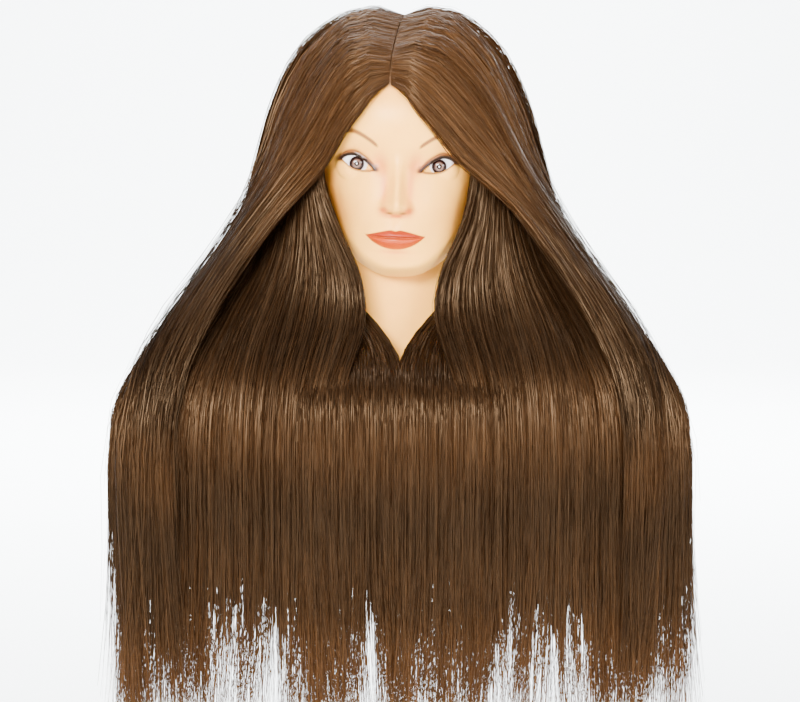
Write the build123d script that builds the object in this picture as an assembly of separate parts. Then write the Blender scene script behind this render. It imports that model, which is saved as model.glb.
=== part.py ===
"""Mannequin training head with long centre-parted hair, in millimetres.

The head faces -Y with +Z up.  The origin is the centre of the neck socket's mouth, on the flat
underside of the neck.  The head's own left side is +X.  The hair is combed out over the front edge
of the table that the neck stands on, so it hangs below z = 0 in front of the neck.
"""
from build123d import *
import math
import os

# ---- head and neck -------------------------------------------------------------------------
SKULL_CENTRE_Z = 205.0
SKULL_CENTRE_Y = -1.0
SKULL_HALF_WIDTH = 74.0
SKULL_HALF_DEPTH = 92.0
SKULL_HALF_HEIGHT = 88.0
SKULL_TOP_ANGLE = 80.0      # degrees of latitude where the lofted dome is closed by a small flat
SKIN_WALL = 3.0
OUTLINE_POINTS = 20

# Height, half width, foremost y, y of the widest point and rearmost y of each level below the dome.
FACE_LEVELS = [
    (0.0, 57.0, -47.0, 8.0, 61.0),
    (22.0, 53.0, -42.0, 9.0, 60.0),
    (52.0, 50.0, -37.0, 11.0, 59.0),
    (76.0, 50.0, -38.0, 11.0, 60.0),
    (88.0, 51.0, -66.0, 10.0, 62.0),
    (98.0, 52.0, -80.0, 8.0, 64.0),
    (114.0, 55.0, -81.0, 6.0, 68.0),
    (134.0, 59.0, -84.0, 4.0, 76.0),
    (160.0, 65.0, -83.0, 2.0, 84.0),
    (184.0, 71.0, -84.0, 0.0, 90.0),
    (SKULL_CENTRE_Z, SKULL_HALF_WIDTH, -91.0, SKULL_CENTRE_Y, 91.0),
]

NOSE_LEVELS = [  # height, half width, foremost y of the nose wedge
    (147.0, 11.0, -97.0),
    (154.0, 12.5, -103.0),
    (168.0, 8.5, -95.0),
    (186.0, 5.0, -86.5),
]
NOSE_BACK_Y = -74.0

EAR_RADII = (6.0, 15.0, 29.0)
EAR_CENTRE = (70.5, 14.0, 170.0)
EAR_LEAN = 8.0

# ---- eyes and lashes -----------------------------------------------------------------------
EYE_RADIUS = 12.5
EYE_CENTRE = (32.8, -62.5, 182.0)
EYE_BACK_Y = -67.5          # flat back of the half-round acrylic eye
EYE_POCKET_PLAY = 0.15
LASH_REACH = 4.0
LASH_THICKNESS = 0.8
LASH_HEIGHT = 187.5
LASH_HALF_ANGLE = 62.0

# ---- neck socket, base plate and screws ----------------------------------------------------
SOCKET_RADIUS = 14.0
SOCKET_DEPTH = 90.0
SOCKET_WALL = 2.5
SOCKET_CAP = 3.0
RIB_COUNT = 4
RIB_REACH = 9.0
RIB_THICKNESS = 2.5
RIB_BOTTOM = 14.0
PLATE_THICKNESS = 5.0
NECK_REACH = 61.0
SCREW_CIRCLE_RADIUS = 31.0
SCREW_COUNT = 4
SCREW_HEAD_RADIUS = 3.6
SCREW_HEAD_HEIGHT = 2.2
SCREW_SHANK_RADIUS = 1.75
SCREW_LENGTH = 22.0
SCREW_SLOT_WIDTH = 0.9
SCREW_SLOT_DEPTH = 1.0

# ---- hair ----------------------------------------------------------------------------------
# Each section of hair is one combed sheet of even thickness.  A guide runs from its root to its
# tips along the sheet's outer face, as (distance from the midplane, y, z) stations: skull, flank,
# table top, table edge and tip.  The first guide of a section is its innermost edge.
HAIR_THICKNESS = 7.0
HANGING_STATIONS = 5        # stations filled in along the straight hanging length
LENGTHWISE_SAMPLES = 34
CROSSWISE_SAMPLES = 9
TOP_GUIDES = [
    [(1, -93, 243), (24, -98, 227), (46, -92, 204), (63, -78, 179), (79, -73, 146), (99, -80, 108),
     (126, -94, 70), (148, -108, 38), (160, -120, 8), (163, -125, -40), (160, -123, -318)],
    [(1, -71, 277), (30, -74, 273), (60, -66, 245), (82, -55, 208), (97, -51, 165), (113, -56, 122),
     (135, -74, 84), (160, -95, 48), (178, -114, 16), (186, -126, -40), (183, -124, -318)],
    [(1, -26, 303), (34, -27, 305), (70, -23, 277), (94, -19, 232), (109, -17, 184), (123, -27, 137),
     (143, -52, 95), (172, -84, 57), (198, -109, 22), (209, -126, -40), (206, -124, -318)],
    [(1, 24, 303), (34, 23, 306), (73, 18, 281), (99, 12, 238), (115, 6, 190), (128, -6, 144),
     (148, -36, 98), (180, -74, 58), (212, -105, 20), (230, -125, -40), (228, -123, -318)],
]
SIDE_GUIDES = [
    [(71, -46, 205), (68, -60, 186), (63, -69, 165), (59, -71, 143), (54, -71, 122), (48, -70, 100),
     (47, -69, 79), (54, -76, 58), (65, -90, 34), (71, -106, 8), (72, -114, -40), (72, -115, -318)],
    [(84, -22, 199), (87, -32, 180), (88, -41, 158), (86, -50, 136), (85, -57, 112), (87, -63, 90),
     (94, -74, 64), (104, -90, 36), (111, -106, 8), (115, -114, -40), (116, -114, -318)],
    [(91, 10, 194), (98, 2, 175), (103, -8, 152), (107, -20, 130), (113, -34, 108), (122, -50, 84),
     (135, -70, 60), (149, -92, 33), (157, -106, 8), (160, -114, -40), (160, -114, -318)],
]
NAPE_GUIDES = [
    [(46, 76, 122), (64, 44, 114), (69, 6, 106), (62, -24, 94), (47, -45, 80), (31, -56, 62),
     (16, -65, 44), (7, -78, 28), (5, -95, 18), (5, -108, 4), (5, -114, -40), (5, -115, -318)],
    [(56, 79, 136), (76, 46, 125), (83, 6, 112), (75, -22, 98), (63, -42, 82), (51, -54, 62),
     (41, -66, 44), (36, -80, 28), (35, -97, 16), (35, -108, 4), (35, -114, -40), (35, -115, -318)],
    [(64, 78, 150), (86, 44, 138), (92, 8, 124), (87, -14, 106), (78, -34, 84), (69, -50, 62),
     (65, -64, 42), (66, -81, 26), (68, -98, 14), (70, -108, 2), (70, -114, -40), (70, -115, -318)],
]
BACK_GUIDES = [
    [(2.5, 27.5, 303), (36, 26.5, 303), (74, 21.5, 277), (98.5, 16, 233), (114, 11, 186), (125, 0, 138),
     (143, -29, 92), (170, -66, 48), (192, -94, 14), (203, -109, -16), (206, -114, -50), (203, -113, -318)],
    [(2.5, 96, 247), (40, 92, 234), (75, 74, 204), (99, 47, 166), (111, 21, 128), (124, -10, 92),
     (145, -46, 60), (166, -79, 30), (180, -99, 8), (186, -110, -20), (188, -114, -50), (186, -113, -318)],
    [(2.5, 104, 182), (36, 101, 161), (70, 83, 132), (93, 52, 98), (109, 18, 68), (124, -18, 46),
     (141, -54, 30), (154, -83, 18), (162, -100, 6), (166, -110, -20), (168, -114, -50), (167, -113, -318)],
]
HAIR_SECTIONS = {"top": TOP_GUIDES, "side": SIDE_GUIDES, "nape": NAPE_GUIDES, "back": BACK_GUIDES}


def dome_levels():
    """Levels of the half-ellipsoid skull, from just above its centre to the small flat on top."""
    steps = 7
    levels = []
    for step in range(1, steps + 1):
        latitude = math.radians(SKULL_TOP_ANGLE * step / steps)
        shrink = math.cos(latitude)
        z = SKULL_CENTRE_Z + SKULL_HALF_HEIGHT * math.sin(latitude)
        levels.append((z, SKULL_HALF_WIDTH * shrink, SKULL_CENTRE_Y - SKULL_HALF_DEPTH * shrink,
                       SKULL_CENTRE_Y, SKULL_CENTRE_Y + SKULL_HALF_DEPTH * shrink))
    return levels


def outline(level, inset=0.0):
    """One closed horizontal outline of the head: two half ellipses that meet at the widest point."""
    z, half_width, front, middle, back = level
    points = []
    for index in range(OUTLINE_POINTS):
        angle = 2 * math.pi * index / OUTLINE_POINTS
        reach = (back - middle) if math.sin(angle) > 0 else (middle - front)
        points.append((
            (half_width - inset) * math.cos(angle),
            middle + (reach - inset) * math.sin(angle),
            z,
        ))
    return make_face(Spline(*points, periodic=True))


def head_form(inset=0.0):
    """The head and neck as one smooth loft, drawn in by an inset all round and at the crown."""
    levels = FACE_LEVELS + dome_levels()
    lowered = [(min(z, levels[-1][0] - inset), *rest) for z, *rest in levels]
    return loft([outline(level, inset) for level in lowered])


def nose():
    """A wedge from the bridge to the tip, sunk into the face."""
    faces = []
    for z, half_width, front in NOSE_LEVELS:
        middle = (front + NOSE_BACK_Y) / 2
        faces.append(Pos(0, middle, z) * Ellipse(half_width, NOSE_BACK_Y - middle).face())
    return loft(faces)


def ears():
    """A flattened ear on each side, leaning back at the top."""
    ear = Rot(X=-EAR_LEAN) * scale(Sphere(1.0), by=EAR_RADII)
    placed = Pos(*EAR_CENTRE) * ear
    return placed + mirror(placed, about=Plane.YZ)


def eye_sphere(radius, side):
    return Pos(side * EYE_CENTRE[0], EYE_CENTRE[1], EYE_CENTRE[2]) * Sphere(radius)


def eye(side):
    """A half-round acrylic eye: a dome with a flat back."""
    keep = Pos(side * EYE_CENTRE[0], EYE_BACK_Y - 20, EYE_CENTRE[2]) * Box(40, 40, 40)
    return eye_sphere(EYE_RADIUS, side) & keep


def eye_seat(side):
    """The round, flat-bottomed recess in the foam that an eye sits in."""
    radius = math.sqrt(EYE_RADIUS**2 - (EYE_BACK_Y - EYE_CENTRE[1]) ** 2) + EYE_POCKET_PLAY
    depth = 2 * EYE_RADIUS
    place = Pos(side * EYE_CENTRE[0], EYE_BACK_Y - depth / 2, EYE_CENTRE[2])
    return place * Rot(X=90) * Cylinder(radius, depth)


def lash_strip(side, head_outer):
    """A thin crescent of lashes that stands out from the upper lid."""
    place = Pos(side * EYE_CENTRE[0], EYE_CENTRE[1], LASH_HEIGHT)
    inner = EYE_RADIUS + 0.5
    ring = Cylinder(inner + LASH_REACH, LASH_THICKNESS) - Cylinder(inner, 2 * LASH_THICKNESS)
    half = math.radians(LASH_HALF_ANGLE)
    far = 3 * EYE_RADIUS
    wedge = make_face(Polyline((0, 0), (-far * math.sin(half), -far * math.cos(half)),
                               (far * math.sin(half), -far * math.cos(half)), (0, 0)))
    sector = ring & extrude(wedge, amount=LASH_THICKNESS, both=True)
    return place * sector - head_outer


def screws():
    """The flat-headed self-tapping screws, heads flush with the underside of the base plate."""
    made = []
    slot = Box(2.2 * SCREW_HEAD_RADIUS, SCREW_SLOT_WIDTH, 2 * SCREW_SLOT_DEPTH)
    for index in range(SCREW_COUNT):
        angle = math.radians(360 * (index + 0.5) / SCREW_COUNT)
        at = Pos(SCREW_CIRCLE_RADIUS * math.cos(angle), 6 + SCREW_CIRCLE_RADIUS * math.sin(angle), 0)
        head = Cylinder(SCREW_HEAD_RADIUS, SCREW_HEAD_HEIGHT, align=(Align.CENTER, Align.CENTER, Align.MIN))
        shank = Cylinder(SCREW_SHANK_RADIUS, SCREW_LENGTH, align=(Align.CENTER, Align.CENTER, Align.MIN))
        made.append(at * (head + shank - slot))
    return made


def socket_outside():
    """The outer form of the socket: a closed post with ribs that key it into the foam."""
    outer = SOCKET_RADIUS + SOCKET_WALL
    base = (Align.CENTER, Align.CENTER, Align.MIN)
    post = Cylinder(outer, SOCKET_DEPTH + SOCKET_CAP, align=base)
    height = SOCKET_DEPTH + SOCKET_CAP - RIB_BOTTOM
    rib = Pos(0, 0, RIB_BOTTOM) * Box(2 * (outer + RIB_REACH), RIB_THICKNESS, height, align=base)
    for index in range(RIB_COUNT // 2):
        post += Rot(Z=180 * index / (RIB_COUNT // 2)) * rib
    return post


def even_points(curve, count):
    """Points at even steps of length along a curve."""
    return [curve.position_at(index / (count - 1)) for index in range(count)]


def with_hanging_length(guide):
    """The guide with stations filled in between the table edge and the tip."""
    edge, tip = Vector(*guide[-2]), Vector(*guide[-1])
    filled = [edge + (tip - edge) * (step / HANGING_STATIONS) for step in range(1, HANGING_STATIONS)]
    return [*guide[:-1], *filled, guide[-1]]


def hair_section(guides, side):
    """A combed sheet of hair of even thickness, drawn through its guides, for one side of the head."""
    lengthwise = [even_points(Spline(*with_hanging_length(guide)), LENGTHWISE_SAMPLES) for guide in guides]
    rows = [even_points(Spline(*across), CROSSWISE_SAMPLES) for across in zip(*lengthwise)]
    sheet = Face.make_surface_from_array_of_points(rows, tol=0.2)
    solid = Solid.thicken(sheet, -HAIR_THICKNESS, normal_override=(0.5, -1, 0.3))
    return solid if side > 0 else solid.mirror(Plane.YZ)


def build():
    """Every separate piece of the head by its node name."""
    outer = head_form() + nose() + ears()
    cavity = head_form(SKIN_WALL)
    foot = Pos(0, 0, PLATE_THICKNESS / 2) * Box(4 * NECK_REACH, 4 * NECK_REACH, PLATE_THICKNESS)
    post = socket_outside()
    post_room = Cylinder(SOCKET_RADIUS + SOCKET_WALL, 4 * SOCKET_DEPTH)
    bore = Cylinder(SOCKET_RADIUS, SOCKET_DEPTH, align=(Align.CENTER, Align.CENTER, Align.MIN))
    fixings = screws()

    skin = outer - cavity - [eye_sphere(EYE_RADIUS + EYE_POCKET_PLAY, side) for side in (-1, 1)]
    core = cavity - foot - post - [eye_seat(side) for side in (-1, 1)] - fixings
    plate = (cavity & foot) - post_room - fixings

    nodes = {
        "head_skin": skin,
        "foam_core": core,
        "socket_tube": post - bore,
        "base_plate": plate,
        "base_screws": Compound(children=fixings),
        "eye_left": eye(1),
        "eye_right": eye(-1),
        "lashes_left": lash_strip(1, outer),
        "lashes_right": lash_strip(-1, outer),
    }
    for name, guides in HAIR_SECTIONS.items():
        nodes[f"hair_{name}_left"] = hair_section(guides, 1)
        nodes[f"hair_{name}_right"] = hair_section(guides, -1)
    return nodes


os.makedirs("parts", exist_ok=True)
for node, shape in build().items():
    export_step(shape, f"parts/{node}.step")
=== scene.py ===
"""Looks for the mannequin training head: vinyl face, glass-like eyes, lashes and combed hair.

Shapes are worked out in millimetres in the part's own frame (+Z up, the face looks along -Y,
+X to the right as one looks at the face) and scaled to metres where each mesh is made.
"""

import math

import bpy
import numpy as np
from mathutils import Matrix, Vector


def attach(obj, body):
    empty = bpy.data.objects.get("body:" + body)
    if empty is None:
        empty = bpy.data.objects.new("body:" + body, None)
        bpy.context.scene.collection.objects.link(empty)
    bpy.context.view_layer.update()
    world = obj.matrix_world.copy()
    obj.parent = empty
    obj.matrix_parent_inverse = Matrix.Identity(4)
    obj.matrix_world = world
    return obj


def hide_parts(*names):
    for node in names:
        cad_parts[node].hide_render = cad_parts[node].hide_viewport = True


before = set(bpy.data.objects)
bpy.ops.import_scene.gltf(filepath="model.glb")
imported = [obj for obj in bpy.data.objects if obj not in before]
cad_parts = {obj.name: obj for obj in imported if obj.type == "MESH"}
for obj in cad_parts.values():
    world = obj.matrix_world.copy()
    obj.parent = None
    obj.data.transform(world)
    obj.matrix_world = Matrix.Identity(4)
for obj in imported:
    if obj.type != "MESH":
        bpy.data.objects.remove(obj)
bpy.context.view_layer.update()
MM = 0.001

# ---- where the face sits on the head -------------------------------------------------------
FACE_LEAN = math.radians(2.2)       # the features lean a little to the viewer's right
FACE_PIVOT = (-2.2, 165.0)
EYE_OFFSET = 33.0                   # iris centre from the middle of the face
EYE_HEIGHT = 180.8
EYE_RADIUS = 16.0
EYE_DEPTH = -60.0                   # y of the eyes' sphere centre
LID_THICKNESS = 1.0
MOUTH_HEIGHT = 124.0
MOUTH_HALF_WIDTH = 23.8
SKIN_WALL = 3.0
SKIN_ROUGHNESS = 0.4
RIM_HEIGHT = 4.8                    # the skin's edge stands this high inside the neck
FOAM_HOLE = 17.0                    # radius of the foam's hole round the socket
SKULL_CENTRE, SKULL_RISE = 205, 88  # height of the widest level, and of the crown above it

# ---- colours, linear RGB -------------------------------------------------------------------
SKIN = (0.94, 0.445, 0.065)
# Painted shade for the vinyl: laid where the face turns away, under the hairline and in its hollows; on the
# cheeks it is a faint blush.
SKIN_SHADE = (0.60, 0.115, 0.020)
SCALP = (0.17, 0.085, 0.040)
UPPER_LIP = (0.27, 0.020, 0.0002)
LOWER_LIP = (0.37, 0.040, 0.0004)
BROW = (0.080, 0.011, 0.005)
LID_SHADOW = (0.11, 0.028, 0.012)
EYE_LINE = (0.012, 0.004, 0.003)
# Printed rings of the eye, from the middle outwards: (radius in mm, colour). The light dot in the middle is a
# painted catch-light highlight.
EYE_RINGS = [
    # painted catch-light highlight in the pupil
    (0.40, (0.80, 0.76, 0.74)),
    (0.80, (0.008, 0.004, 0.004)),
    (1.75, (0.008, 0.003, 0.002)),
    (2.30, (0.15, 0.085, 0.062)),
    (3.30, (0.095, 0.048, 0.034)),
    (3.95, (0.012, 0.004, 0.003)),
    (5.70, (0.008, 0.003, 0.002)),
    (6.30, (0.55, 0.50, 0.51)),
    (9.5, (0.80, 0.76, 0.76)),
    (13.0, (0.62, 0.40, 0.36)),
]
HAIR_DARK = (0.0036, 0.0013, 0.0004)
HAIR_MID = (0.0150, 0.0058, 0.0018)
HAIR_LIGHT = (0.074, 0.032, 0.0112)
HAIR_SHINE = (0.95, 0.62, 0.36)
# Factor on the hair's colour: (share of the way from root to tip, factor). Most of it is painted light and
# shade: a painted highlight at the crown, painted shade where the hair leaves the head, a painted highlight
# band where it turns down to hang, painted shade below that, and tips that are lighter because the fibres are
# lighter there and lighter still as painted light.
LENGTH_TONE_AND_PAINTED_LIGHT = [(0.0, 2.1), (0.16, 1.9), (0.34, 0.66), (0.52, 0.44), (0.61, 1.15),
               (0.70, 0.54), (0.78, 0.85), (0.87, 2.2), (0.94, 3.8), (1.0, 5.5)]


# ---- curves and meshes ---------------------------------------------------------------------
def hermite(knots, values, at):
    """A smooth curve through values at knots, straight on beyond its ends."""
    knots = np.asarray(knots, float)
    values = np.asarray(values, float)
    at = np.asarray(at, float)
    flat = values.ndim == 1
    if flat:
        values = values[:, None]
    step = np.diff(knots)
    slope = np.diff(values, axis=0) / step[:, None]
    tangent = np.empty_like(values)
    tangent[0], tangent[-1] = slope[0], slope[-1]
    if len(knots) > 2:
        before, after = step[:-1, None], step[1:, None]
        tangent[1:-1] = (slope[:-1] * after + slope[1:] * before) / (before + after)
    index = np.clip(np.searchsorted(knots, at, side="right") - 1, 0, len(step) - 1)
    gap = step[index]
    part = (at - knots[index]) / gap
    inside = np.clip(part, 0, 1)
    q, gap = inside[..., None], gap[..., None]
    result = (
        (2 * q**3 - 3 * q**2 + 1) * values[index]
        + (q**3 - 2 * q**2 + q) * gap * tangent[index]
        + (3 * q**2 - 2 * q**3) * values[index + 1]
        + (q**3 - q**2) * gap * tangent[index + 1]
    )
    beyond = (part - inside)[..., None] * gap
    result += beyond * np.where(beyond < 0, tangent[0], tangent[-1])
    return result[..., 0] if flat else result


def profile(table, at):
    """A value read from a table of (position, value) pairs."""
    knots, values = zip(*table)
    return hermite(knots, values, np.clip(at, knots[0], knots[-1]))


def smoothstep(low, high, value):
    part = np.clip((value - low) / (high - low), 0, 1)
    return part * part * (3 - 2 * part)


def bump(x, z, at, spread):
    """A soft round bump of height 1."""
    return np.exp(-(((x - at[0]) / spread[0]) ** 2) - ((z - at[1]) / spread[1]) ** 2)


def smooth_path(points, count):
    """Points at even steps of length along a smooth curve."""
    points = np.asarray(points, float)
    chord = np.r_[0, np.cumsum(np.linalg.norm(np.diff(points, axis=0), axis=1))]
    dense = hermite(chord, points, np.linspace(0, chord[-1], 40 * len(points)))
    run = np.r_[0, np.cumsum(np.linalg.norm(np.diff(dense, axis=0), axis=1))]
    even = np.linspace(0, run[-1], count)
    return np.stack([np.interp(even, run, dense[:, axis]) for axis in range(3)], 1)


def grid_faces(rows, columns, wrap=False):
    """Quads of a grid of vertices that is stored row by row."""
    last = columns if wrap else columns - 1
    row, column = np.meshgrid(np.arange(rows - 1), np.arange(last), indexing="ij")
    right = (column + 1) % columns
    corners = (
        row * columns + column,
        row * columns + right,
        (row + 1) * columns + right,
        (row + 1) * columns + column,
    )
    return np.stack([corner.ravel() for corner in corners], 1)


def make_piece(name, vertices_mm, quads, material, replaced=(), uv=None):
    """A smooth mesh piece that rides on the part's one body."""
    mesh = bpy.data.meshes.new(name)
    quads = np.asarray(quads, np.int32)
    mesh.vertices.add(len(vertices_mm))
    mesh.vertices.foreach_set("co", (np.asarray(vertices_mm, float) * MM).ravel())
    mesh.loops.add(quads.size)
    mesh.loops.foreach_set("vertex_index", quads.ravel())
    mesh.polygons.add(len(quads))
    mesh.polygons.foreach_set("loop_start", np.arange(0, quads.size, quads.shape[1], dtype=np.int32))
    mesh.update(calc_edges=True)
    mesh.polygons.foreach_set("use_smooth", np.ones(len(quads), bool))
    if uv is not None:
        layer = mesh.uv_layers.new(name="OFBake")
        layer.data.foreach_set("uv", np.asarray(uv, float)[quads.ravel()].ravel())
    mesh.materials.append(material)
    piece = bpy.data.objects.new(name, mesh)
    bpy.context.scene.collection.objects.link(piece)
    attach(piece, "root")
    if replaced:
        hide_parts(*replaced)
    return piece


def vertex_colour(piece, name, values):
    """Stores one colour for each vertex."""
    layer = piece.data.color_attributes.new(name=name, type="FLOAT_COLOR", domain="POINT")
    rgba = np.ones((len(values), 4))
    rgba[:, : values.shape[1]] = values
    layer.data.foreach_set("color", rgba.ravel())


# ---- materials -----------------------------------------------------------------------------
def new_material(name):
    material = bpy.data.materials.new(name)
    material.use_nodes = True
    tree = material.node_tree
    return material, tree.nodes, tree.links, tree.nodes["Principled BSDF"]


def add_node(nodes, kind, **values):
    """A shader node with its properties and input values set by name."""
    node = nodes.new(kind)
    for key, value in values.items():
        if hasattr(node, key):
            setattr(node, key, value)
        else:
            node.inputs[key.replace("_", " ")].default_value = value
    return node


def colour_ramp(nodes, stops, smooth=True):
    ramp = nodes.new("ShaderNodeValToRGB")
    ramp.color_ramp.interpolation = "EASE" if smooth else "LINEAR"
    elements = ramp.color_ramp.elements
    while len(elements) < len(stops):
        elements.new(0.5)
    for element, (position, colour) in zip(elements, stops):
        element.position = position
        element.color = (*colour, 1)
    return ramp


def multiplied(nodes):
    """A node that multiplies two colours."""
    mix = nodes.new("ShaderNodeMix")
    mix.data_type = "RGBA"
    mix.blend_type = "MULTIPLY"
    mix.inputs["Factor"].default_value = 1.0
    return mix


def mottled_material(name, dark, light, scale, roughness, stretch=(1, 1, 1), metallic=0.0, grain=0.15):
    """A surface whose colour, roughness and fine relief follow one noise pattern."""
    material, nodes, links, shader = new_material(name)
    place = nodes.new("ShaderNodeTexCoord")
    mapping = nodes.new("ShaderNodeMapping")
    mapping.inputs["Scale"].default_value = stretch
    noise = add_node(nodes, "ShaderNodeTexNoise", Scale=scale, Detail=6.0, Roughness=0.6)
    ramp = colour_ramp(nodes, [(0.3, dark), (0.7, light)])
    rough = add_node(nodes, "ShaderNodeMapRange")
    rough.inputs["To Min"].default_value = roughness[0]
    rough.inputs["To Max"].default_value = roughness[1]
    relief = add_node(nodes, "ShaderNodeBump", Strength=grain, Distance=0.0004)
    links.new(place.outputs["Object"], mapping.inputs["Vector"])
    links.new(mapping.outputs["Vector"], noise.inputs["Vector"])
    links.new(noise.outputs["Fac"], ramp.inputs["Fac"])
    links.new(noise.outputs["Fac"], rough.inputs["Value"])
    links.new(noise.outputs["Fac"], relief.inputs["Height"])
    links.new(ramp.outputs["Color"], shader.inputs["Base Color"])
    links.new(rough.outputs["Result"], shader.inputs["Roughness"])
    links.new(relief.outputs["Normal"], shader.inputs["Normal"])
    shader.inputs["Metallic"].default_value = metallic
    return material


def vinyl_material():
    """Painted soft vinyl: the paint and its gloss come from the mesh, with a faint moulded texture."""
    material, nodes, links, shader = new_material("vinyl")
    paint = add_node(nodes, "ShaderNodeAttribute", attribute_name="paint")
    gloss = add_node(nodes, "ShaderNodeAttribute", attribute_name="gloss")
    place = nodes.new("ShaderNodeTexCoord")
    cloud = add_node(nodes, "ShaderNodeTexNoise", Scale=55.0, Detail=4.0)
    tint = colour_ramp(nodes, [(0.3, (0.95, 0.93, 0.92)), (0.7, (1.0, 1.0, 1.0))])
    mix = multiplied(nodes)
    fine = add_node(nodes, "ShaderNodeTexNoise", Scale=1400.0, Detail=2.0)
    relief = add_node(nodes, "ShaderNodeBump", Strength=0.06, Distance=0.0002)
    links.new(place.outputs["Object"], cloud.inputs["Vector"])
    links.new(place.outputs["Object"], fine.inputs["Vector"])
    links.new(cloud.outputs["Fac"], tint.inputs["Fac"])
    links.new(paint.outputs["Color"], mix.inputs["A"])
    links.new(tint.outputs["Color"], mix.inputs["B"])
    links.new(mix.outputs["Result"], shader.inputs["Base Color"])
    links.new(gloss.outputs["Fac"], shader.inputs["Roughness"])
    links.new(fine.outputs["Fac"], relief.inputs["Height"])
    links.new(relief.outputs["Normal"], shader.inputs["Normal"])
    shader.inputs["Subsurface Weight"].default_value = 0.12
    shader.inputs["Subsurface Radius"].default_value = (1.0, 0.45, 0.25)
    shader.inputs["Subsurface Scale"].default_value = 0.004
    shader.inputs["Specular IOR Level"].default_value = 0.28
    return material


def eye_material():
    """Printed iris under clear gloss: rings around the middle of the piece's map, fine spokes."""
    material, nodes, links, shader = new_material("eye")
    place = add_node(nodes, "ShaderNodeUVMap", uv_map="OFBake")
    centred = nodes.new("ShaderNodeVectorMath")
    centred.operation = "SUBTRACT"
    centred.inputs[1].default_value = (0.5, 0.5, 0)
    distance = nodes.new("ShaderNodeVectorMath")
    distance.operation = "LENGTH"
    spokes = add_node(nodes, "ShaderNodeTexNoise", Scale=70.0, Detail=3.0)
    mean_wobble = 0.0175
    wobble = nodes.new("ShaderNodeMath")
    wobble.operation = "MULTIPLY_ADD"
    wobble.inputs[1].default_value = 2 * mean_wobble
    ring = 1.0 / (2 * EYE_RADIUS)
    stops = [(radius * ring + mean_wobble, colour) for radius, colour in EYE_RINGS]
    rings = colour_ramp(nodes, stops, smooth=False)
    links.new(place.outputs["UV"], centred.inputs[0])
    links.new(centred.outputs["Vector"], distance.inputs[0])
    links.new(place.outputs["UV"], spokes.inputs["Vector"])
    links.new(spokes.outputs["Fac"], wobble.inputs[0])
    links.new(distance.outputs["Value"], wobble.inputs[2])
    links.new(wobble.outputs["Value"], rings.inputs["Fac"])
    links.new(rings.outputs["Color"], shader.inputs["Base Color"])
    shader.inputs["Roughness"].default_value = 0.08
    shader.inputs["Specular IOR Level"].default_value = 0.22
    return material


def hair_material(name, dark, mid, light, columns=900.0):
    """Fibre colour from the map: across it one fibre differs from the next, along it they vary slowly and
    carry painted light and shade.
    """
    material, nodes, links, shader = new_material(name)
    place = add_node(nodes, "ShaderNodeUVMap", uv_map="OFBake")
    mapping = nodes.new("ShaderNodeMapping")
    mapping.inputs["Scale"].default_value = (columns, 3.0, 1.0)
    noise = add_node(nodes, "ShaderNodeTexNoise", Scale=1.0, Detail=3.0, Roughness=0.65)
    ramp = colour_ramp(nodes, [(0.28, dark), (0.52, mid), (0.78, light)], smooth=False)
    split = nodes.new("ShaderNodeSeparateXYZ")
    # Painted light and shade along each fibre, from root to tip.
    light_ramp = colour_ramp(nodes, [(at, (value,) * 3) for at, value in LENGTH_TONE_AND_PAINTED_LIGHT])
    light_mix = multiplied(nodes)
    links.new(place.outputs["UV"], mapping.inputs["Vector"])
    links.new(place.outputs["UV"], split.inputs["Vector"])
    links.new(split.outputs["Y"], light_ramp.inputs["Fac"])
    links.new(mapping.outputs["Vector"], noise.inputs["Vector"])
    links.new(noise.outputs["Fac"], ramp.inputs["Fac"])
    links.new(ramp.outputs["Color"], light_mix.inputs["A"])
    links.new(light_ramp.outputs["Color"], light_mix.inputs["B"])
    links.new(light_mix.outputs["Result"], shader.inputs["Base Color"])
    shader.inputs["Roughness"].default_value = 0.36
    shader.inputs["Specular IOR Level"].default_value = 0.24
    shader.inputs["Specular Tint"].default_value = (*HAIR_SHINE, 1)
    return material


VINYL = vinyl_material()
EYE = eye_material()
HAIR = hair_material("hair", HAIR_DARK, HAIR_MID, HAIR_LIGHT)
LASH = hair_material("lash", (0.004, 0.003, 0.003), (0.010, 0.006, 0.005), (0.03, 0.018, 0.014), 60.0)
FOAM = mottled_material("foam", (0.62, 0.55, 0.40), (0.80, 0.74, 0.58), 260.0, (0.85, 0.98), grain=0.7)
SOCKET = mottled_material("socket_plastic", (0.010, 0.010, 0.011), (0.028, 0.028, 0.030), 420.0, (0.35, 0.6))
BOARD = mottled_material("base_board", (0.24, 0.14, 0.075), (0.42, 0.28, 0.16), 30.0, (0.6, 0.85),
                         stretch=(1.0, 14.0, 6.0), grain=0.4)
SCREW = mottled_material("screw_steel", (0.42, 0.42, 0.40), (0.66, 0.66, 0.63), 600.0, (0.25, 0.5),
                         metallic=1.0)
PAPER = mottled_material("paper", (0.86, 0.89, 0.90), (0.88, 0.905, 0.915), 1.5, (0.8, 0.9), grain=0.0)


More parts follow.
